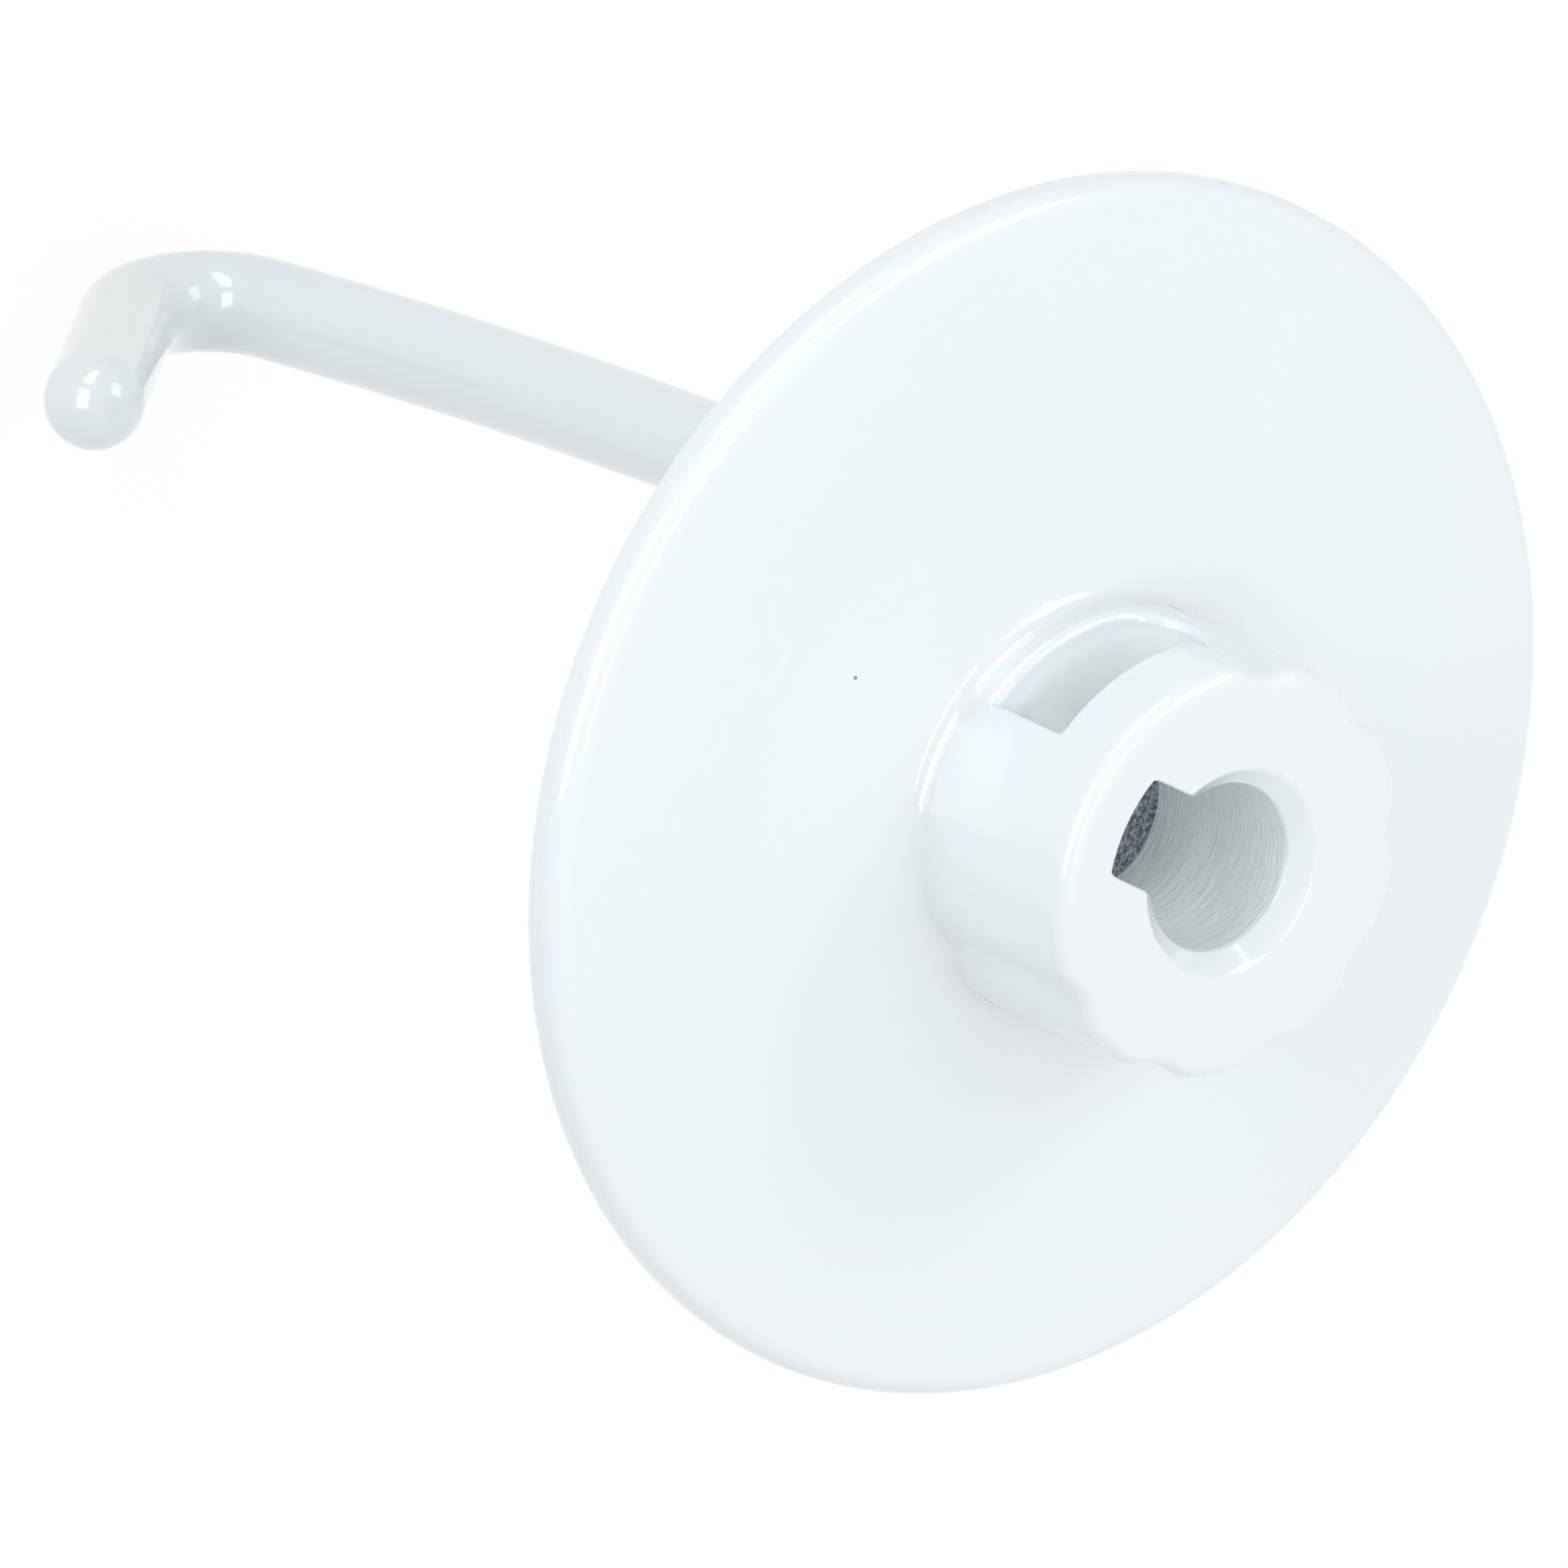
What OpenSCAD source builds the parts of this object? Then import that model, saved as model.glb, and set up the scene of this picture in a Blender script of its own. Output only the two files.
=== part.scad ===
// Dough hook for a stand mixer: one casting with a keyed hub, a round shield and a bent arm.
// Millimetres. Z runs along the bore, up towards the mixer, and the arm hangs on the X side.
// Heights in the named sizes are measured from the middle plane of the shield's rim.

/* [Hub] */
// Outside diameter of the hub over its lobes
hub_d = 32.2; // [28:0.1:36]
// Height of the hub's end face over the rim's middle plane
hub_h = 23.3; // [20:0.1:28]
// Radius of the rounded edge of the end face
face_edge_r = 1.3; // [0.8:0.1:2]
// Radius of the fillet at the hub's foot
foot_r = 1.5; // [0.6:0.1:1.5]

/* [Flutes] */
// Number of grip flutes on the hub's side
flute_n = 7; // [3:1:7]
// Direction of the first flute seen from above
flute_first = 210; // [205:1:210]
// Angle from one flute to the next
flute_pitch = 38.1; // [37:0.1:38.5]
// Depth of a flute
flute_depth = 1; // [0.6:0.05:1.2]
// Radius of the flute's hollow
flute_r = 3.8; // [2.6:0.1:4]
// Radius of the rounded crests beside a flute
crest_r = 1.8; // [1:0.1:2]

/* [Bore] */
// Diameter of the blind bore for the drive shaft
bore_d = 12.9; // [12.7:0.1:13.2]
// Height of the bore's blind end
bore_end = 6.6; // [6.2:0.1:7.4]
// Radial width of the lead-in at the mouth
lead_w = 1.35; // [0.8:0.05:1.6]
// Depth of the lead-in at the mouth
lead_h = 1.6; // [1:0.1:2]

/* [Key slot and pin pocket] */
// Width of the key slot for the drive pin
slot_w = 7.7; // [6:0.1:8]
// Reach of the key slot from the bore's axis
slot_reach = 11.6; // [10.5:0.1:12]
// Radius of the slot's outer corners
slot_corner_r = 0.6; // [0.4:0.1:1]
// Direction of the key slot seen from above
slot_dir = 150.4; // [148:0.1:152]
// Height of the pocket's floor
pocket_floor = 9; // [8.5:0.1:9.5]
// Height of the pocket's roof, where the drive pin bears
pocket_roof = 16.7; // [16:0.1:17.5]
// Turn from the middle of the key slot to the pocket's closed end
pocket_turn = 66; // [58:0.1:67]
// Radius of the rounded lip of the pocket's floor
lip_r = 0.8; // [0.5:0.1:1.2]

/* [Shield] */
// Diameter of the shield
shield_d = 94; // [86:0.5:100]
// Thickness of the shield at its rim
shield_t = 4.1; // [3.6:0.1:5]
// Radius of the rounded rim edges
rim_r = 1.75; // [1.4:0.05:1.8]
// Slope of the shield's outer zone in degrees
shield_slope = 2.5; // [1:0.5:4]
// Radius where the rising foot of the hub starts
flare_start = 31.3; // [28:0.1:34]
// Radius of the hollow curve that rises to the hub
flare_r = 43; // [40:0.5:60]

/* [Arm] */
// Diameter of the round arm
arm_d = 7.7; // [7:0.1:9]
// Greatest distance of the arm's centre line from the bore's axis
arm_reach = 27; // [24:0.1:30]
// Drop of that widest point under the rim's middle plane
arm_wide_drop = 42.8; // [38:0.1:48]
// Radius of the arm's long bow
arm_bow_r = 279.4; // [240:0.1:320]
// Lean of the arm where the bend starts
arm_lean = 14.7; // [12:0.1:17]
// Radius of the bend on its centre line
bend_r = 6.8; // [5.5:0.1:10]
// Angle of the bend
bend_turn = 119.4; // [100:0.1:130]
// Straight length of the tip up to its round end
tip_len = 17.6; // [10:0.1:22]
// Radius of the fillet where the arm leaves the shield
root_r = 3; // [1.5:0.1:4]

/* [Hidden] */
$fn = 48;
eps = hub_d / 1000;
far = shield_d;
hub_r = hub_d / 2;
bore_r = bore_d / 2;
rim_half = shield_t / 2;
shield_r = shield_d / 2;
rim_in = shield_r - rim_r;
flare_z0 = rim_half + (rim_in - flare_start) * tan(shield_slope);
flare_cx = flare_start + flare_r * sin(shield_slope);
flare_cz = flare_z0 + flare_r * cos(shield_slope);
// the arm's straight lengths run this far into the bend and are this little thinner than it
lap = arm_d / 32;
bar_d = arm_d - arm_d / 400;
root_c = bar_d / 2 + root_r - arm_d / 64;
// height of the rising foot at a radius r
function foot_z(r) = flare_cz - sqrt(flare_r * flare_r - (flare_cx - r) * (flare_cx - r));
foot_top = foot_z(hub_r + foot_r);
// flute places
flute_c = hub_r - flute_depth + flute_r;
crest_c = hub_r - crest_r;
crest_gap = flute_r + crest_r;
crest_turn = acos((crest_c * crest_c + flute_c * flute_c - crest_gap * crest_gap) / (2 * crest_c * flute_c));
flute_foot = foot_top + foot_r / 3;
// arm places, in the plane of the arm
bow_x = arm_reach - arm_bow_r;
bow_z = -arm_wide_drop;
root_a = asin(arm_wide_drop / arm_bow_r);
bow_end_x = bow_x + arm_bow_r * cos(arm_lean);
bow_end_z = bow_z - arm_bow_r * sin(arm_lean);
bend_x = bow_end_x - bend_r * cos(arm_lean);
bend_z = bow_end_z + bend_r * sin(arm_lean);
tip_a = arm_lean + bend_turn;
tip_x = bend_x + bend_r * cos(tip_a);
tip_z = bend_z - bend_r * sin(tip_a);
under_a = asin((arm_wide_drop - rim_half) / arm_bow_r);
under_x = bow_x + arm_bow_r * cos(under_a);

// Half section of the shield with the rising foot under the hub
module shield_section() {
    difference() {
        union() {
            polygon([[0, -rim_half], [rim_in, -rim_half], [rim_in, rim_half],
                [flare_start, flare_z0], [hub_r + foot_r, foot_top + foot_r], [0, foot_top + foot_r]]);
            translate([rim_in - eps, rim_r - rim_half])
                square([rim_r + eps, shield_t - 2 * rim_r]);
            intersection() {
                union() {
                    translate([rim_in, rim_half - rim_r]) circle(rim_r);
                    translate([rim_in, rim_r - rim_half]) circle(rim_r);
                }
                translate([rim_in - eps, -shield_t]) square([2 * rim_r, 2 * shield_t]);
            }
        }
        translate([flare_cx, flare_cz]) circle(flare_r);
    }
}

// Half section of the hub with its rounded end edge and its foot fillet
module hub_section() {
    difference() {
        polygon([[0, 0], [hub_r + foot_r, 0], [hub_r + foot_r, foot_top + foot_r],
            [hub_r, foot_top + foot_r], [hub_r, hub_h], [0, hub_h]]);
        translate([hub_r + foot_r, foot_top + foot_r]) circle(foot_r);
        difference() {
            translate([hub_r - face_edge_r, hub_h - face_edge_r]) square(2 * face_edge_r);
            translate([hub_r - face_edge_r, hub_h - face_edge_r]) circle(face_edge_r);
        }
    }
}

// One flute: a round hollow that flares at the end face, with rounded crests on both sides
module flute_cut() {
    translate([flute_c, 0, 0]) rotate_extrude() difference() {
        union() {
            translate([0, flute_foot]) square([flute_r, hub_h]);
            translate([0, hub_h - face_edge_r]) square([flute_r + face_edge_r, 2 * face_edge_r]);
        }
        translate([flute_r + face_edge_r, hub_h - face_edge_r]) circle(face_edge_r);
    }
    translate([0, 0, flute_foot]) linear_extrude(hub_h) difference() {
        polygon([
            [crest_c * cos(crest_turn), -crest_c * sin(crest_turn)],
            [far * cos(crest_turn), -far * sin(crest_turn)],
            [far * cos(crest_turn), far * sin(crest_turn)],
            [crest_c * cos(crest_turn), crest_c * sin(crest_turn)],
            [flute_c, 0]]);
        for (s = [-1, 1]) rotate(s * crest_turn) translate([crest_c, 0]) circle(crest_r);
    }
}

// Plan of the key slot with rounded outer corners, in the slot's own direction
module slot_plan() {
    side = slot_w / 2;
    corner_x = sqrt((slot_reach - slot_corner_r) * (slot_reach - slot_corner_r)
        - (side - slot_corner_r) * (side - slot_corner_r));
    intersection() {
        circle(slot_reach);
        union() {
            translate([0, -side]) square([corner_x, slot_w]);
            translate([0, slot_corner_r - side]) square([2 * slot_reach, slot_w - 2 * slot_corner_r]);
            for (s = [-1, 1]) translate([corner_x, s * (side - slot_corner_r)]) circle(slot_corner_r);
        }
    }
}

// Plan of the pocket beside the key slot, open through the hub's side
module pocket_plan() {
    polygon([[slot_w / 2 / tan(pocket_turn), -slot_w / 2], [far, -slot_w / 2],
        [far, -far * tan(pocket_turn)]]);
}

// Everything that is cut out of the hub for the drive shaft and its pin
module drive_cut() {
    rotate_extrude() polygon([[0, bore_end], [bore_r, bore_end], [bore_r, hub_h - lead_h],
        [bore_r + lead_w, hub_h], [bore_r + lead_w, 2 * hub_h], [0, 2 * hub_h]]);
    rotate([0, 0, slot_dir]) {
        translate([0, 0, pocket_floor]) linear_extrude(hub_h) slot_plan();
        translate([0, 0, pocket_floor]) linear_extrude(pocket_roof - pocket_floor) pocket_plan();
        // rounded lip of the floor where the pocket opens through the side
        intersection() {
            translate([0, 0, pocket_floor - 2 * lip_r]) linear_extrude(3 * lip_r) pocket_plan();
            rotate_extrude() difference() {
                translate([hub_r - lip_r, pocket_floor - lip_r]) square(2 * lip_r);
                translate([hub_r - lip_r, pocket_floor - lip_r]) circle(lip_r);
            }
        }
    }
}

// A round bar of the arm swept about a centre from one angle to another, in the arm's plane
module arm_arc(cx, cz, r, a0, a1, d) {
    translate([cx, 0, cz]) rotate([-90, 0, 0]) rotate([0, 0, a0])
        rotate_extrude(angle = a1 - a0) translate([r, 0]) circle(d = d);
}

// The hanging arm: long bow, tight bend, straight tip with a round end
module arm() {
    arm_arc(bow_x, bow_z, arm_bow_r, -root_a, arm_lean + lap / arm_bow_r * 180 / PI, bar_d);
    arm_arc(bend_x, bend_z, bend_r, arm_lean, tip_a, arm_d);
    translate([tip_x, 0, tip_z]) rotate([0, tip_a - 180, 0]) rotate_extrude() intersection() {
        union() {
            translate([0, -lap]) square([bar_d / 2, tip_len + lap]);
            translate([0, tip_len]) circle(d = bar_d);
        }
        translate([0, -lap]) square([bar_d, tip_len + lap + bar_d]);
    }
    // fillet under the shield
    translate([under_x, 0, -rim_half]) rotate([0, -under_a, 0]) rotate_extrude() difference() {
        translate([0, -root_r]) square([root_c, root_r + rim_r / 2]);
        translate([root_c, -root_r]) circle(root_r);
    }
}

// The whole hook as one casting, placed with the pocket's roof at zero height
module dough_hook() {
    color("white") translate([0, 0, -pocket_roof]) difference() {
        union() {
            difference() {
                union() {
                    rotate_extrude() shield_section();
                    rotate_extrude() hub_section();
                }
                for (i = [0:flute_n - 1]) rotate([0, 0, flute_first + i * flute_pitch]) flute_cut();
            }
            arm();
        }
        drive_cut();
    }
}

dough_hook();
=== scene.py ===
"""Dough hook of a stand mixer: one aluminium casting with a white gloss coating and a bare machined bore."""
from math import asin, atan2, cos, degrees, hypot, pi, radians, sin, sqrt, tan

import bmesh
import bpy
from mathutils import Matrix, Vector


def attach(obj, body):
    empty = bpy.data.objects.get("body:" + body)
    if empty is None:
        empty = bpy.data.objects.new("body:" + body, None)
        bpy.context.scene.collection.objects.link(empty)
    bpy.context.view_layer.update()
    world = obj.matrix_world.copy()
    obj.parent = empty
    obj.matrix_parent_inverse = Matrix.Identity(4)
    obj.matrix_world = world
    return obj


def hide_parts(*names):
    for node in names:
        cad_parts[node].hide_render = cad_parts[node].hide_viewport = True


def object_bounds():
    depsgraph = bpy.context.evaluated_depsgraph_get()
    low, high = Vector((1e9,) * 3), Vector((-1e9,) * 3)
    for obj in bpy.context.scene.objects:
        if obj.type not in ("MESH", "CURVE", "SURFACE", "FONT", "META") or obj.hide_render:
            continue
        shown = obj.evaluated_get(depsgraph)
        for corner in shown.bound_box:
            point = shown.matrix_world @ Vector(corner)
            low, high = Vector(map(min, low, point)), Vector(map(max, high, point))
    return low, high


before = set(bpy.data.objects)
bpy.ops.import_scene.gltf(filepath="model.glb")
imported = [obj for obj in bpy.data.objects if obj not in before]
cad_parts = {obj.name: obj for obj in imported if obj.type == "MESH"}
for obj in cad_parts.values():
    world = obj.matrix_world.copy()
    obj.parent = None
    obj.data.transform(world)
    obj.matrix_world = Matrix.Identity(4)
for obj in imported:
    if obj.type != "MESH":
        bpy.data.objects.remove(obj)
cad_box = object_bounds()
scene = bpy.context.scene
scene.view_settings.view_transform = "Standard"

# Camera: a long lens far off, above the hub and on the key slot's side, rolled until the hub
# points to the right and down and the arm to the left.
photo_width = 0.1158
camera_distance = 4.8
to_camera = Vector((-0.5992, 0.3362, 0.7266)).normalized()
photo_right = Vector((0.7797, 0.0387, 0.6250))
photo_right = (photo_right - photo_right.dot(to_camera) * to_camera).normalized()
photo_up = to_camera.cross(photo_right)
aim = Vector((0, 0, -0.0167)) - 0.01844 * photo_right - 0.00006 * photo_up
camera = bpy.data.objects.new("camera", bpy.data.cameras.new("camera"))
camera.data.sensor_fit = "HORIZONTAL"
camera.data.sensor_width = 36
camera.data.lens = camera.data.sensor_width * camera_distance / photo_width
camera.matrix_world = Matrix.Translation(aim + camera_distance * to_camera) @ Matrix(
    (photo_right, photo_up, to_camera)).transposed().to_4x4()
scene.collection.objects.link(camera)
scene.camera = camera


class Reading:
    """An output socket in a node tree; sums on it add Math nodes."""

    def __init__(self, tree, socket=None):
        self.tree, self.socket = tree, socket

    def node(self, kind, settings=None, inputs=None, output=0):
        """Adds a node: settings first, then values or links of its sockets; reads one output."""
        made = self.tree.nodes.new(kind)
        for name, value in (settings or {}).items():
            if name == "stops":
                ramp = made.color_ramp.elements
                while len(ramp) < len(value):
                    ramp.new(1)
                for stop, (place, shade) in zip(ramp, value):
                    stop.position, stop.color = place, (*shade, 1)
            else:
                setattr(made, name, value)
        for name, value in (inputs or {}).items():
            if isinstance(value, Reading):
                self.tree.links.new(value.socket, made.inputs[name])
            else:
                made.inputs[name].default_value = value
        return Reading(self.tree, made.outputs[output] if len(made.outputs) else None)

    def maths(self, operation, first, second=0.0):
        return self.node("ShaderNodeMath", {"operation": operation}, {0: first, 1: second})

    def __add__(self, other):
        return self.maths("ADD", self, other)

    __radd__ = __add__

    def __rsub__(self, other):
        return self.maths("SUBTRACT", other, self)

    def __mul__(self, other):
        return self.maths("MULTIPLY", self, other)

    __rmul__ = __mul__

    def __gt__(self, other):
        return self.maths("GREATER_THAN", self, other)

    def __lt__(self, other):
        return self.maths("LESS_THAN", self, other)


# Studio: a white tent all round, dimmer on the side where the soft boxes stand and brighter overhead
# and in front, so that every face of the hook gets about the same light and some of it reaches into
# the bore, and a plain pale floor that keeps the hook's soft shadow.
tent_level, ceiling_level, front_level = 0.46, 0.50, 0.66
tent_tilt = (0.35, -0.32, 0.0)
world = bpy.data.worlds.new("white tent")
scene.world = world
world.use_nodes = True
world.node_tree.nodes.clear()
tent = Reading(world.node_tree)
heading = tent.node("ShaderNodeTexCoord", output="Generated")
across_tent = tent.node("ShaderNodeVectorMath", {"operation": "DOT_PRODUCT"}, {
    0: heading, 1: tent_tilt}, "Value")
upwards = tent.node("ShaderNodeSeparateXYZ", None, {0: heading}, "Z")
ceiling = ceiling_level * tent.maths("POWER", tent.maths("MAXIMUM", upwards, 0.0), 4.0)
towards_front = tent.node("ShaderNodeVectorMath", {"operation": "DOT_PRODUCT"}, {
    0: heading, 1: to_camera}, "Value")
front = front_level * tent.maths("POWER", tent.maths("MAXIMUM", towards_front, 0.0), 9.0)


def seen_white(tree):
    """One for rays of the camera and for those of gloss and glass, which see the plain white."""
    return (tree.node("ShaderNodeLightPath", output="Is Camera Ray")
            + tree.node("ShaderNodeLightPath", output="Is Glossy Ray")
            + tree.node("ShaderNodeLightPath", output="Is Transmission Ray"))


white = (1, 1, 1, 1)
lighting = tent.node("ShaderNodeBackground", None, {
    "Color": white, "Strength": tent_level + across_tent + ceiling + front})
plain_white = tent.node("ShaderNodeBackground", None, {"Color": white, "Strength": 1.0})
tent.node("ShaderNodeOutputWorld", None, {"Surface": tent.node(
    "ShaderNodeMixShader", None, {0: seen_white(tent), 1: lighting, 2: plain_white})})

floor_drop = 0.0002
floor_half = 4.0
shadow_share, paper_glow = 0.15, 1.07
floor_mesh = bpy.data.meshes.new("floor")
shaping = bmesh.new()
bmesh.ops.create_grid(shaping, x_segments=1, y_segments=1, size=floor_half)
shaping.to_mesh(floor_mesh)
shaping.free()
floor = bpy.data.objects.new("floor", floor_mesh)
floor.location = (0, 0, cad_box[0].z - floor_drop)
scene.collection.objects.link(floor)
paper = bpy.data.materials.new("floor paper")
paper.use_nodes = True
paper.node_tree.nodes.clear()
sheet = Reading(paper.node_tree)
paper_grain = sheet.node("ShaderNodeTexNoise", None, {
    "Vector": sheet.node("ShaderNodeTexCoord", output="Object"), "Scale": 900.0, "Detail": 3.0})
matt_paper = sheet.node("ShaderNodeBsdfDiffuse", None, {
    "Color": (0.72, 0.73, 0.74, 1),
    "Normal": sheet.node("ShaderNodeBump", None, {
        "Strength": 0.05, "Distance": 0.0002, "Height": paper_grain})})
lit_paper = sheet.node("ShaderNodeEmission", None, {"Color": white, "Strength": paper_glow})
sheet.node("ShaderNodeOutputMaterial", None, {"Surface": sheet.node(
    "ShaderNodeMixShader", None, {0: seen_white(sheet) * (1 - shadow_share), 1: matt_paper, 2: lit_paper})})
floor.data.materials.append(paper)

# Four oblong soft boxes round the tent, where the panes that shine on the hook's tip put them.
light_centre = Vector((0.0, 0.0, -0.06))
light_distance = 0.75
for name, heading_to, length_along, width_share, length_share, glow in (
        ("soft box far", (-0.286, 0.958, 0.030), (0.846, 0.257, -0.467), 0.40, 0.66, 2.2),
        ("soft box left", (-0.895, 0.333, 0.298), (0.301, 0.942, -0.149), 0.50, 0.80, 2.5),
        ("soft box right", (0.347, 0.575, 0.741), (0.378, 0.637, -0.672), 0.42, 0.50, 1.8),
        ("soft box strip", (-0.194, 0.177, 0.965), (0.536, 0.843, -0.047), 0.16, 0.56, 5.0)):
    lamp = bpy.data.lights.new(name, "AREA")
    lamp.shape = "RECTANGLE"
    lamp.size = width_share * light_distance
    lamp.size_y = length_share * light_distance
    lamp.energy = glow * pi * lamp.size * lamp.size_y
    back = Vector(heading_to).normalized()
    along = Vector(length_along)
    along = (along - along.dot(back) * back).normalized()
    across = along.cross(back)
    box = bpy.data.objects.new(name, lamp)
    box.matrix_world = Matrix.Translation(light_centre + light_distance * back) @ Matrix(
        (across, along, back)).transposed().to_4x4()
    scene.collection.objects.link(box)

# The casting's shield and hub: turned shapes in the mould, so one ring of points is drawn out
# along the half section, from the hub's flat face over the shield's rim to its underside.
mm = 0.001
rim_plane = -16.7
hub_r, hub_top, face_edge_r = 16.1, 6.6, 1.3
shield_r, shield_half, rim_r = 47.0, 2.05, 1.75
slope = radians(2.5)
flare_r, flare_start = 43.0, 31.3
foot_r = 1.5
rim_in = shield_r - rim_r
flare_x = flare_start + flare_r * sin(slope)
flare_z = rim_plane + shield_half + (rim_in - flare_start) * tan(slope) + flare_r * cos(slope)
foot_x = hub_r + foot_r
foot_z = flare_z - sqrt((flare_r - foot_r) ** 2 - (flare_x - foot_x) ** 2)
foot_lean = atan2(flare_z - foot_z, flare_x - foot_x)

# Grip flutes round the hub, seven of them: soft waves between the crests, wider towards the
# hub's foot. The last one, beside the window's end, is wider and runs out towards the foot.
flute_count, flute_first, flute_pitch = 7, 210.0, 38.1
flute_half_top, flute_half_foot = 13.0, 15.0
flute_depth_top, flute_depth_foot = 0.80, 0.90
last_half, last_depth_top, last_depth_foot = 14.5, 0.95, 0.10


def flute_sink(turn, z):
    """How far the hub's side lies inside its full circle at an angle, in degrees, and a height."""
    offs = [abs((turn - flute_first - i * flute_pitch + 180) % 360 - 180) for i in range(flute_count)]
    off = min(offs)
    down = min(1.0, max(0.0, (hub_top - face_edge_r - z) / 14.0))
    half = flute_half_top + (flute_half_foot - flute_half_top) * down
    depth_top, depth_foot = flute_depth_top, flute_depth_foot
    if offs.index(off) == flute_count - 1:
        half, depth_top, depth_foot = last_half, last_depth_top, last_depth_foot
    if off >= half:
        return 0.0
    return (depth_top + (depth_foot - depth_top) * down) * (1 + cos(pi * off / half)) / 2


turns = []
for i in range(flute_count):
    middle = flute_first + i * flute_pitch
    widen = last_half / flute_half_top if i == flute_count - 1 else 1.0
    turns += [middle + widen * k for k in (
        -15, -13.6, -12.2, -10.8, -9.4, -8, -6.6, -5.2, -3.9, -2.6, -1.3, 0,
        1.3, 2.6, 3.9, 5.2, 6.6, 8, 9.4, 10.8, 12.2, 13.6, 15)]
    if i < flute_count - 2:
        turns += [middle + 15 + (flute_pitch - 30) * k / 3 for k in (1, 2)]
plain_start = turns[-1]
plain_turn = flute_first - 15 + 360 - plain_start
turns += [plain_start + plain_turn * k / 24 for k in range(1, 24)]

# rows of the half section: radius, height, share of the flute's depth
rows = [(hub_r - face_edge_r - 0.15, hub_top, 1.0)]
for k in range(0, 9):
    a = radians(90 * k / 8)
    rows.append((hub_r - face_edge_r + face_edge_r * sin(a),
                 hub_top - face_edge_r + face_edge_r * cos(a), 1.0))
for z, share in ((3.0, 1.0), (0.5, 1.0), (-2.0, 1.0), (-4.5, 1.0),
                 (-5.8, 0.98), (-7.0, 0.93), (-7.8, 0.85), (-8.5, 0.75)):
    rows.append((hub_r, z, share))
fade = (0.65, 0.52, 0.38, 0.25, 0.14, 0.06, 0.0)
for k in range(0, 7):
    a = pi + foot_lean * k / 6
    rows.append((foot_x + foot_r * cos(a), foot_z + foot_r * sin(a), fade[k]))
for k in range(1, 17):
    a = pi + foot_lean + (pi / 2 - slope - foot_lean) * k / 16
    rows.append((flare_x + flare_r * cos(a), flare_z + flare_r * sin(a), 0.0))
for r in (35.0, 39.0, 43.0):
    rows.append((r, rim_plane + shield_half + (rim_in - r) * tan(slope), 0.0))
for k in range(0, 11):
    a = pi / 2 - slope - (pi / 2 - slope) * k / 10
    rows.append((rim_in + rim_r * cos(a), rim_plane + shield_half - rim_r + rim_r * sin(a), 0.0))
for k in range(0, 11):
    a = -pi / 2 * k / 10
    rows.append((rim_in + rim_r * cos(a), rim_plane - shield_half + rim_r + rim_r * sin(a), 0.0))
rows.append((rim_in - 0.3, rim_plane - shield_half, 0.0))


def draw_row(points, row):
    """Puts a ring of points at a row of the half section, each at its own angle."""
    r, z, share = row
    for p in points:
        a = atan2(p.co.y, p.co.x)
        reach = r - share * flute_sink(degrees(a), z)
        p.co = mm * Vector((reach * cos(a), reach * sin(a), z))


def as_piece(name, shaping):
    """A new object from a bmesh, at the origin, its faces turned outwards."""
    bmesh.ops.recalc_face_normals(shaping, faces=shaping.faces)
    mesh = bpy.data.meshes.new(name)
    shaping.to_mesh(mesh)
    shaping.free()
    made = bpy.data.objects.new(name, mesh)
    scene.collection.objects.link(made)
    return made


shaping = bmesh.new()
bmesh.ops.create_circle(shaping, cap_ends=True, segments=len(turns), radius=1)
shaping.verts.ensure_lookup_table()
for point, turn in zip(list(shaping.verts), turns):
    point.co = Vector((cos(radians(turn)), sin(radians(turn)), 0))
ring = list(shaping.edges)
draw_row(shaping.verts, rows[0])
for row in rows[1:]:
    drawn = bmesh.ops.extrude_edge_only(shaping, edges=ring)["geom"]
    ring = [e for e in drawn if isinstance(e, bmesh.types.BMEdge)]
    draw_row([p for p in drawn if isinstance(p, bmesh.types.BMVert)], row)
bmesh.ops.holes_fill(shaping, edges=ring, sides=0)
casting = as_piece("dough_hook_casting", shaping)

# The arm: a round bar that leaves the shield's underside in a fillet, bows outwards, turns back
# through the tight bend and ends in a round tip. It is one with the shield in the mould.
arm_r, root_r = 3.85, 3.0
bow_r, bow_x, bow_z = 279.4, 27.0 - 279.4, rim_plane - 42.8
arm_lean = radians(14.7)
bend_r, bend_turn = 6.8, radians(119.4)
tip_len = 17.6
under_z = rim_plane - shield_half
shaping = bmesh.new()
bar_points = 48


def bow_at(z):
    """Distance of the bow's centre line from the bore's axis at a height."""
    return bow_x + sqrt(bow_r ** 2 - (z - bow_z) ** 2)


def draw_root(points, centre, reach, z):
    """A level ring of the arm's root, each point at its own angle about the bar."""
    for p in points:
        a = atan2(p.co.y, p.co.x - mm * centre)
        p.co = mm * Vector((bow_at(z) + reach * cos(a) / cos(radians(8)), reach * sin(a), z))
    return bow_at(z)


levels = [(arm_r + root_r - 0.5, under_z + 0.6)]
for k in range(0, 9):
    a = radians(8 + 82 * k / 8)
    levels.append((arm_r + root_r - root_r * sin(a), under_z - root_r + root_r * cos(a)))
bmesh.ops.create_circle(shaping, cap_ends=True, segments=bar_points, radius=mm,
                        matrix=Matrix.Translation((mm * 24, 0, 0)))
ring = list(shaping.edges)
centre = draw_root(shaping.verts, 24, *levels[0])
for level in levels[1:]:
    drawn = bmesh.ops.extrude_edge_only(shaping, edges=ring)["geom"]
    ring = [e for e in drawn if isinstance(e, bmesh.types.BMEdge)]
    centre = draw_root([p for p in drawn if isinstance(p, bmesh.types.BMVert)], centre, *level)
first = asin((bow_z - (under_z - root_r - 1.2)) / bow_r)
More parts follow.
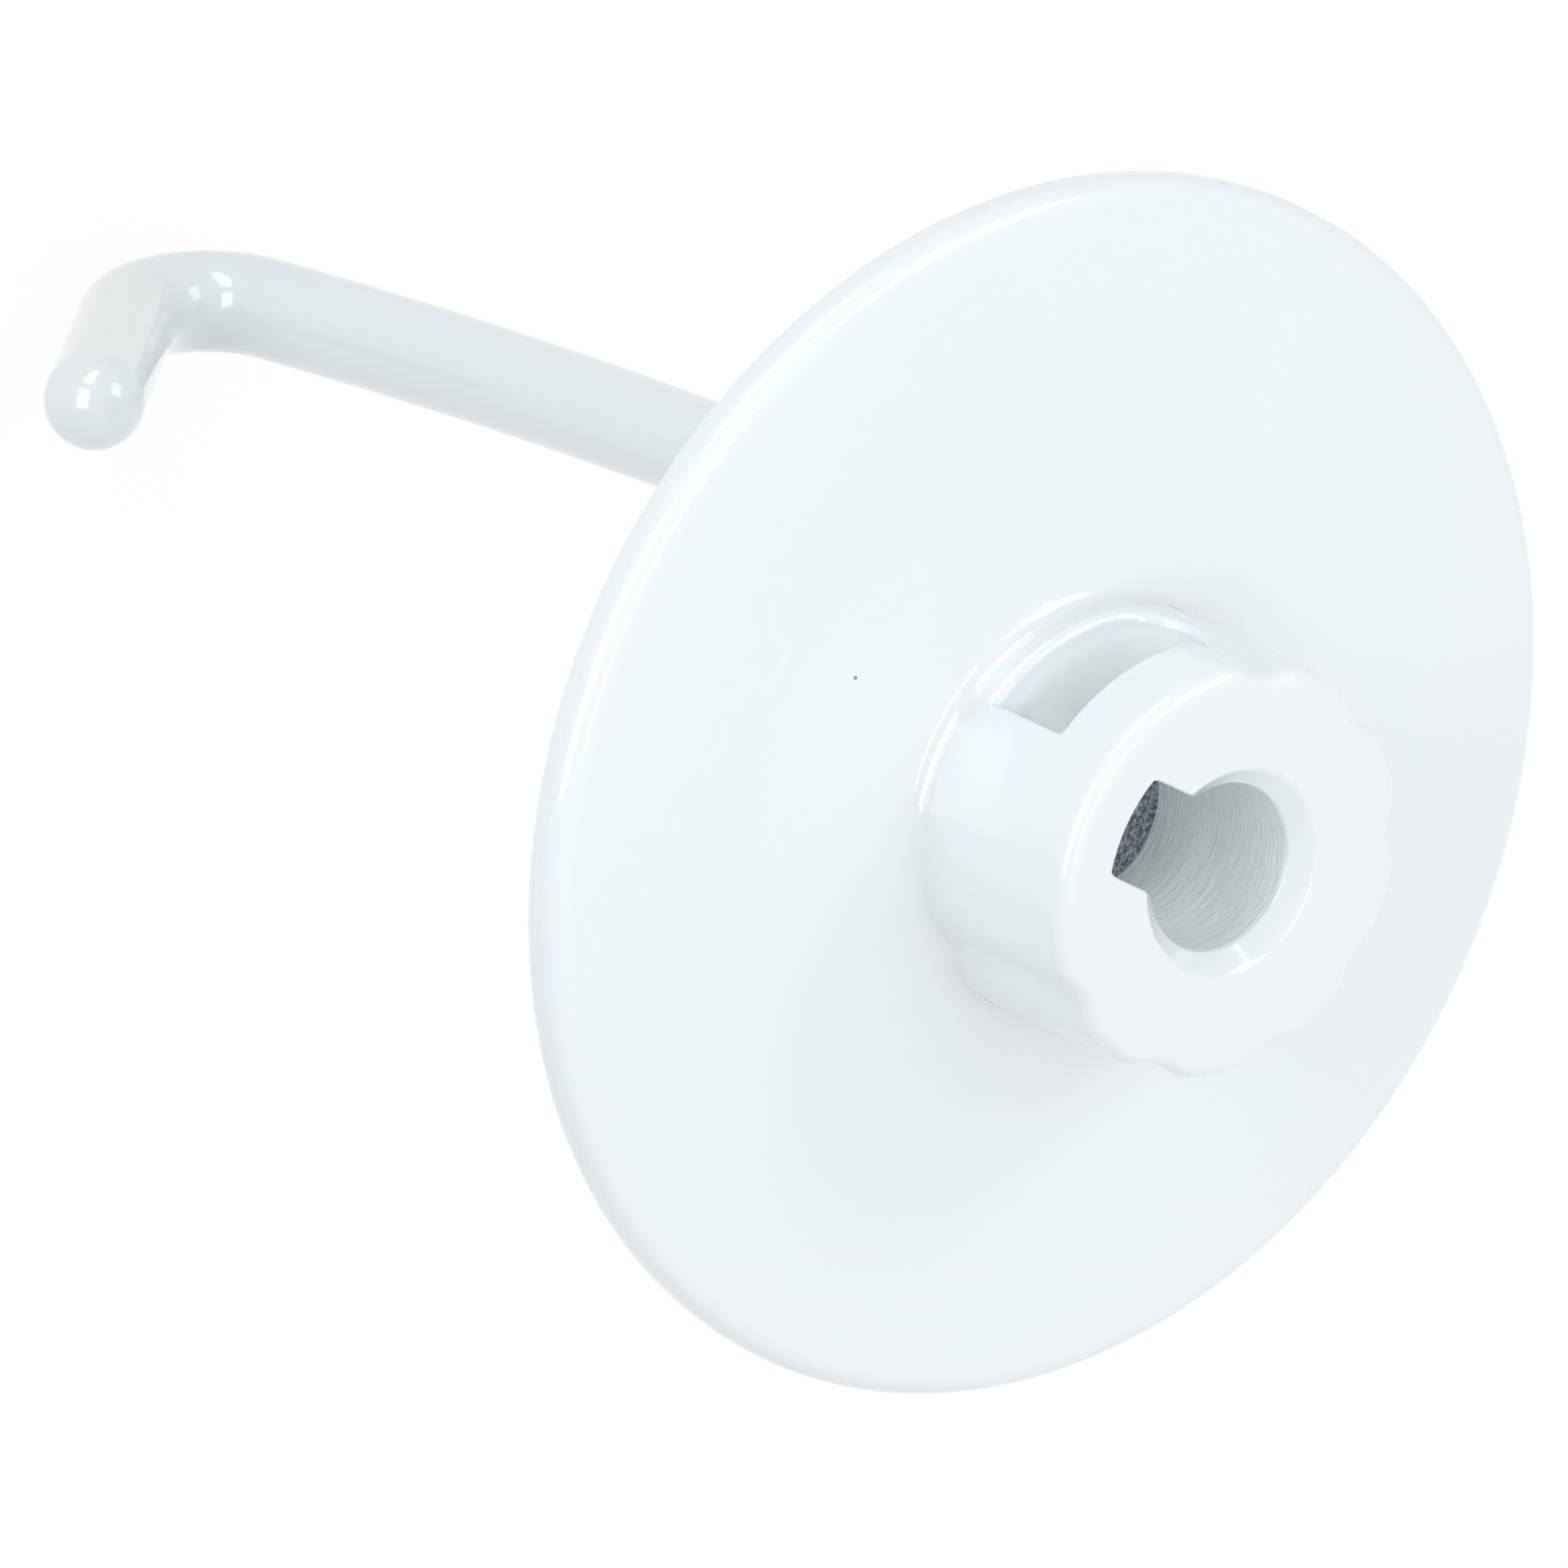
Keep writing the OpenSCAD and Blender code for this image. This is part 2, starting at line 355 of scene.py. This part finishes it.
drawn = bmesh.ops.extrude_edge_only(shaping, edges=ring)["geom"]
for p in [p for p in drawn if isinstance(p, bmesh.types.BMVert)]:
    a = atan2(p.co.y, p.co.x - mm * centre)
    reach = bow_r + arm_r * cos(a)
    p.co = mm * Vector((bow_x + reach * cos(first), arm_r * sin(a), bow_z - reach * sin(first)))
ring = [g for g in drawn if not isinstance(g, bmesh.types.BMFace)]
bend_centre = (bow_x + (bow_r - bend_r) * cos(arm_lean), bow_z - (bow_r - bend_r) * sin(arm_lean))
for about, turn, steps in (((bow_x, bow_z), arm_lean - first, 40), (bend_centre, bend_turn, 32)):
    ring = bmesh.ops.spin(shaping, geom=ring, cent=mm * Vector((about[0], 0, about[1])), axis=(0, 1, 0),
                          dvec=(0, 0, 0), angle=turn, steps=steps)["geom_last"]
tip_heading = arm_lean + bend_turn
ahead = Vector((-sin(tip_heading), 0, -cos(tip_heading)))
rings_ahead = [(tip_len / 6, 1.0)] * 6
rings_ahead += [(arm_r * (sin(radians(k * 7.5)) - sin(radians(k * 7.5 - 7.5))),
                 cos(radians(k * 7.5)) / cos(radians(k * 7.5 - 7.5))) for k in range(1, 12)]
for step, squeeze in rings_ahead:
    drawn = bmesh.ops.extrude_edge_only(
        shaping, edges=[g for g in ring if isinstance(g, bmesh.types.BMEdge)])["geom"]
    ring = [g for g in drawn if not isinstance(g, bmesh.types.BMFace)]
    points = [g for g in ring if isinstance(g, bmesh.types.BMVert)]
    middle = sum((p.co for p in points), Vector()) / len(points)
    for p in points:
        p.co = middle + squeeze * (p.co - middle) + mm * step * ahead
drawn = bmesh.ops.extrude_edge_only(
        shaping, edges=[g for g in ring if isinstance(g, bmesh.types.BMEdge)])["geom"]
points = [g for g in drawn if isinstance(g, bmesh.types.BMVert)]
middle = sum((p.co for p in points), Vector()) / len(points)
bmesh.ops.pointmerge(shaping, verts=points,
                     merge_co=middle + mm * arm_r * (1 - sin(radians(82.5))) * ahead)
arm = as_piece("arm", shaping)

# The drive socket: a blind bore with a lead-in at its mouth, a key slot beside it, and the pocket
# that the drive pin turns into, open through the hub's side as a window with a half round end.
bore_r, bore_foot = 6.45, -10.1
lead_w, lead_h = 1.35, 1.6
slot_half, slot_reach = 3.85, 11.6
slot_heading = 150.4
slot_foot = -7.72
cheek_blend, corner_blend = 0.5, 0.9
mouth_edge_r = 0.35
over = 0.02


def smooth_max(a, b, blend):
    """The larger of two lengths, with a rounding where they cross."""
    h = max(blend - abs(a - b), 0.0) / blend
    return max(a, b) + h * h * blend / 4


def mouth_reach(a, round_r, spread):
    """Reach of the bore and its key slot at an angle from the slot's heading."""
    if cos(a) < 0.2:
        return round_r
    side = (slot_half + spread) / max(abs(sin(a)), 0.01)
    slot = -smooth_max(-side, -slot_reach - spread, corner_blend)
    return smooth_max(round_r, slot, cheek_blend)


mouth_turns = [-60 + 1.25 * k for k in range(96)] + [60 + 4 * k for k in range(60)]
shaping = bmesh.new()
bmesh.ops.create_circle(shaping, cap_ends=True, segments=len(mouth_turns), radius=1)
mouth_rows = [(bore_r - 0.1, bore_foot, None), (bore_r, bore_foot + 0.1, None)]
mouth_rows += [(bore_r, slot_foot, None), (bore_r, slot_foot, 0.0)]
mouth_rows += [(bore_r, z, 0.0) for z in (-3.8, 0.0, 3.0, hub_top - lead_h - 0.25)]
lead_lean = atan2(lead_w, lead_h)
for k in range(1, 5):
    a = lead_lean * k / 4
    mouth_rows.append((bore_r + 0.6 * (1 - cos(a)), hub_top - lead_h - 0.25 + 0.6 * sin(a), 0.0))
mouth_rows.append((bore_r + lead_w - 0.15, hub_top - 0.45, 0.0))
mouth_rows.append((bore_r + lead_w + 0.05, hub_top - 0.22, mouth_edge_r * 0.13))
mouth_rows.append((bore_r + lead_w + 0.27, hub_top - 0.08, mouth_edge_r * 0.4))
mouth_rows.append((bore_r + lead_w + 0.55, hub_top + over, mouth_edge_r))
mouth_rows.append((bore_r + lead_w + 0.55, hub_top + 2.0, mouth_edge_r))


def draw_mouth(points, row):
    """Puts a ring of points of the socket's tool at a height."""
    r, z, spread = row
    for p in points:
        a = atan2(p.co.y, p.co.x)
        turn = a - radians(slot_heading)
        reach = r if spread is None else mouth_reach(turn, r, spread)
        p.co = mm * Vector((reach * cos(a), reach * sin(a), z))


for point, turn in zip(list(shaping.verts), mouth_turns):
    a = radians(turn + slot_heading)
    point.co = Vector((cos(a), sin(a), 0))
ring = list(shaping.edges)
draw_mouth(shaping.verts, mouth_rows[0])
for row in mouth_rows[1:]:
    drawn = bmesh.ops.extrude_edge_only(shaping, edges=ring)["geom"]
    ring = [e for e in drawn if isinstance(e, bmesh.types.BMEdge)]
    draw_mouth([p for p in drawn if isinstance(p, bmesh.types.BMVert)], row)
bmesh.ops.holes_fill(shaping, edges=ring, sides=0)
for face in shaping.faces:
    low = all(p.co.z < mm * (hub_top - lead_h + 0.1) for p in face.verts)
    near = all(hypot(p.co.x, p.co.y) < mm * (bore_r + 0.05) for p in face.verts)
    face.material_index = 1 if low and near else 0
socket_tool = as_piece("socket tool", shaping)

# the pocket's outline, drawn outwards from the bore; where it leaves the hub's side each edge is
# rounded by its own amount
pocket_foot, pocket_roof = -7.7, 0.0
pocket_r = (pocket_roof - pocket_foot) / 2
pocket_middle = (pocket_roof + pocket_foot) / 2
end_heading = 90.0
corner_r = 0.35
lip_r, roof_edge_r, side_edge_r = 0.8, 0.4, 0.55


def pocket_outline(r):
    """Angle and height of the outline's points at a radius, and where each edge rounds off to."""
    inside = 0.45 * min(1.0, max(0.0, (12.4 - r) / 1.6))
    wall = slot_heading - degrees(asin((slot_half - inside) / r))
    straight = wall - degrees(corner_r / r) - end_heading
    outline = [(end_heading + straight * k / 14, pocket_foot, 0.0, -lip_r) for k in range(15)]
    for k in range(1, 4):
        a = radians(-90 + 22.5 * k)
        outline.append((wall - degrees(corner_r * (1 - cos(a)) / r), pocket_foot + corner_r * (1 + sin(a)),
                        side_edge_r * cos(a), lip_r * sin(a)))
    tall = pocket_roof - pocket_foot - 2 * corner_r
    outline += [(wall, pocket_foot + corner_r + tall * k / 5, side_edge_r, 0.0) for k in range(6)]
    for k in range(1, 4):
        a = radians(22.5 * k)
        outline.append((wall - degrees(corner_r * (1 - cos(a)) / r), pocket_roof - corner_r * (1 - sin(a)),
                        side_edge_r * cos(a), roof_edge_r * sin(a)))
    outline += [(end_heading + straight * (1 - k / 14), pocket_roof, 0.0, roof_edge_r) for k in range(15)]
    for k in range(1, 20):
        a = radians(90 + 9 * k)
        edge_r = roof_edge_r + (lip_r - roof_edge_r) * k / 20
        outline.append((end_heading + degrees(asin(pocket_r * cos(a) / r)), pocket_middle + pocket_r * sin(a),
                        edge_r * cos(a), edge_r * sin(a)))
    return outline


# each row: a radius, or None where it follows the hub's side; how far out; how deep under the side
pocket_rows = [(r, 0.0, 0.0) for r in (5.0, 8.0, 10.8, 12.4, 14.0)]
pocket_rows += [(None, 1 - cos(radians(a)), 1 - sin(radians(a))) for a in (0, 15, 30, 45, 60, 75)]
pocket_rows += [(None, 1.05, -0.1), (None, 1.05, -12.0)]


def pocket_points(row):
    """The outline's points in a row, on the way out through the hub's side."""
    r, out, deep = row
    points = []
    for turn, z, side, up in pocket_outline(r or hub_r - 1.0):
        turn += degrees(side * out / hub_r)
        z += up * out
        reach = r or hub_r - flute_sink(turn, z) - hypot(side, up) * deep
        points.append(mm * Vector((reach * cos(radians(turn)), reach * sin(radians(turn)), z)))
    return points


shaping = bmesh.new()
placed = pocket_points(pocket_rows[0])
bmesh.ops.create_circle(shaping, cap_ends=True, segments=len(placed), radius=1)
shaping.verts.ensure_lookup_table()
for point, place in zip(list(shaping.verts), placed):
    point.co = place
ring = list(shaping.edges)
for row in pocket_rows[1:]:
    drawn = bmesh.ops.extrude_edge_only(shaping, edges=ring)["geom"]
    ring = [e for e in drawn if isinstance(e, bmesh.types.BMEdge)]
    moved = pocket_points(row)
    for p in [p for p in drawn if isinstance(p, bmesh.types.BMVert)]:
        p.co = moved[min(range(len(placed)), key=lambda i: (p.co - placed[i]).length_squared)]
    placed = moved
bmesh.ops.holes_fill(shaping, edges=ring, sides=0)
pocket_tool = as_piece("pocket tool", shaping)


def work(piece, tool, operation):
    """Joins a tool's shape to a piece or cuts it out, and takes the tool away."""
    step = piece.modifiers.new(operation.lower(), "BOOLEAN")
    step.operation, step.solver, step.object = operation, "EXACT", tool
    step.material_mode = "INDEX"
    result = bpy.data.meshes.new_from_object(piece.evaluated_get(bpy.context.evaluated_depsgraph_get()))
    piece.modifiers.clear()
    piece.data = result
    bpy.data.objects.remove(tool)


coating = bpy.data.materials.new("white gloss coating")
bare = bpy.data.materials.new("bare machined aluminium")
for piece in (casting, arm, socket_tool, pocket_tool):
    piece.data.materials.append(coating)
    piece.data.materials.append(bare)
work(casting, arm, "UNION")
work(casting, socket_tool, "DIFFERENCE")
work(casting, pocket_tool, "DIFFERENCE")

for polygon in casting.data.polygons:
    polygon.use_smooth = True
casting.data.set_sharp_from_angle(angle=radians(35))
even = casting.modifiers.new("even shading", "WEIGHTED_NORMAL")
even.mode = "FACE_AREA"
even.keep_sharp = True

# White gloss coating: a thick sprayed and baked film, cool white, with a faint orange peel,
# slow swings of tone and a few specks that were caught in it. Inside the pin pocket it is painted whiter:
# painted light that lifts the shade there.
coating.use_nodes = True
coating.node_tree.nodes.clear()
film = Reading(coating.node_tree)
place = film.node("ShaderNodeTexCoord", output="Object")
swing = film.node("ShaderNodeTexNoise", None, {"Vector": place, "Scale": 28.0, "Detail": 2.0})
film_colour = film.node("ShaderNodeMix", {"data_type": "RGBA"}, {
    0: swing, 6: (0.820, 0.876, 0.904, 1), 7: (0.834, 0.888, 0.914, 1)}, 2)
film_depth = film.node("ShaderNodeVectorMath", {"operation": "LENGTH"}, {
    0: film.node("ShaderNodeMapping", None, {"Vector": place, "Scale": (1.0, 1.0, 0.0)})}, "Value")
film_height = film.node("ShaderNodeSeparateXYZ", None, {0: place}, "Z")
# Painted light: inside the pin pocket the coating is painted whiter, to lift the shade in the pocket.
pocket_painted_light = film.node("ShaderNodeMapRange", None, {0: film_depth, 1: mm * 15.4, 2: mm * 14.4, 3: 0.0, 4: 1.0})
pocket_painted_light = pocket_painted_light * (film_height < mm * 0.6) * (film_height > mm * -9.0)
film_colour = film.node("ShaderNodeMix", {"data_type": "RGBA"}, {
    0: pocket_painted_light, 6: film_colour, 7: (0.925, 0.975, 0.985, 1)}, 2)
speck_field = film.node("ShaderNodeTexVoronoi", {"feature": "F1"}, {"Vector": place, "Scale": 130.0})
speck_pick = film.node("ShaderNodeTexNoise", None, {"Vector": place, "Scale": 45.0, "Detail": 0.0})
speck = (speck_field < 0.022) * (speck_pick > 0.56)
film_colour = film.node("ShaderNodeMix", {"data_type": "RGBA"}, {
    0: speck, 6: film_colour, 7: (0.28, 0.29, 0.30, 1)}, 2)
peel = film.node("ShaderNodeTexNoise", None, {
    "Vector": place, "Scale": 700.0, "Detail": 2.0, "Roughness": 0.45})
grit = film.node("ShaderNodeTexNoise", None, {"Vector": place, "Scale": 4200.0, "Detail": 1.0})
film_normal = film.node("ShaderNodeBump", None, {
    "Strength": 0.3, "Distance": 0.00002, "Height": peel + 0.12 * grit})
film.node("ShaderNodeOutputMaterial", None, {"Surface": film.node("ShaderNodeBsdfPrincipled", None, {
    "Base Color": film_colour, "Roughness": 0.10 + 0.05 * swing, "IOR": 1.5,
    "Coat Weight": 1.0, "Coat Roughness": 0.02, "Normal": film_normal})})

# Bare machined aluminium of the bore: fine broken rings from the boring bar on the wall, drawn pale to
# near white, partly real turning marks and partly painted sheen of the machined metal; and a dark
# rough blind end where the tool stopped, partly its own rough grey and partly painted shade at the
# bottom of the bore.
bare.use_nodes = True
bare.node_tree.nodes.clear()
metal = Reading(bare.node_tree)
place = metal.node("ShaderNodeTexCoord", output="Object")
height = metal.node("ShaderNodeSeparateXYZ", None, {0: place}, "Z")
blind = height < mm * (bore_foot + 0.12)
rings = metal.node("ShaderNodeTexNoise", None, {
    "Vector": metal.node("ShaderNodeMapping", None, {"Vector": place, "Scale": (300.0, 300.0, 5200.0)}),
    "Scale": 1.0, "Detail": 2.0, "Roughness": 0.6})
ring_tone_and_sheen = metal.node("ShaderNodeMapRange", None, {0: rings, 1: 0.38, 2: 0.60, 3: 0.0, 4: 1.0})
stain = metal.node("ShaderNodeTexNoise", None, {"Vector": place, "Scale": 260.0, "Detail": 2.0})
stain_tone = metal.node("ShaderNodeMapRange", None, {0: stain, 1: 0.45, 2: 0.70, 3: 0.0, 4: 0.6})
grain = metal.node("ShaderNodeTexNoise", None, {"Vector": place, "Scale": 3200.0, "Detail": 2.0})
grain_tone = metal.node("ShaderNodeMapRange", None, {0: grain, 1: 0.40, 2: 0.72, 3: 0.0, 4: 1.0})
# Painted sheen: the wall's rings go from pale to near white, partly the real turning marks, partly painted
# sheen of the machined metal.
wall_colour_and_sheen = metal.node("ShaderNodeMix", {"data_type": "RGBA"}, {
    0: ring_tone_and_sheen, 6: (0.84, 0.91, 0.93, 1), 7: (0.97, 1.0, 1.0, 1)}, 2)
wall_colour_and_sheen = metal.node("ShaderNodeMix", {"data_type": "RGBA"}, {
    0: stain_tone, 6: wall_colour_and_sheen, 7: (0.84, 0.94, 0.94, 1)}, 2)
# Painted shade: the blind end is painted dark, partly its own rough grey, partly painted shade at the bottom
# of the bore.
rough_end_and_shade = metal.node("ShaderNodeMix", {"data_type": "RGBA"}, {
    0: grain_tone, 6: (0.09, 0.11, 0.125, 1), 7: (0.42, 0.46, 0.50, 1)}, 2)
metal_colour = metal.node("ShaderNodeMix", {"data_type": "RGBA"}, {
    0: blind, 6: wall_colour_and_sheen, 7: rough_end_and_shade}, 2)
metal_normal = metal.node("ShaderNodeBump", None, {
    "Strength": 1.0, "Distance": 0.0001, "Height": rings * (1 - blind) + grain * (0.25 + blind)})
metal.node("ShaderNodeOutputMaterial", None, {"Surface": metal.node("ShaderNodeBsdfPrincipled", None, {
    "Base Color": metal_colour, "Metallic": 0.0, "Roughness": 0.25 + 0.45 * blind, "Normal": metal_normal})})

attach(casting, "root")
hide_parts("dough_hook")
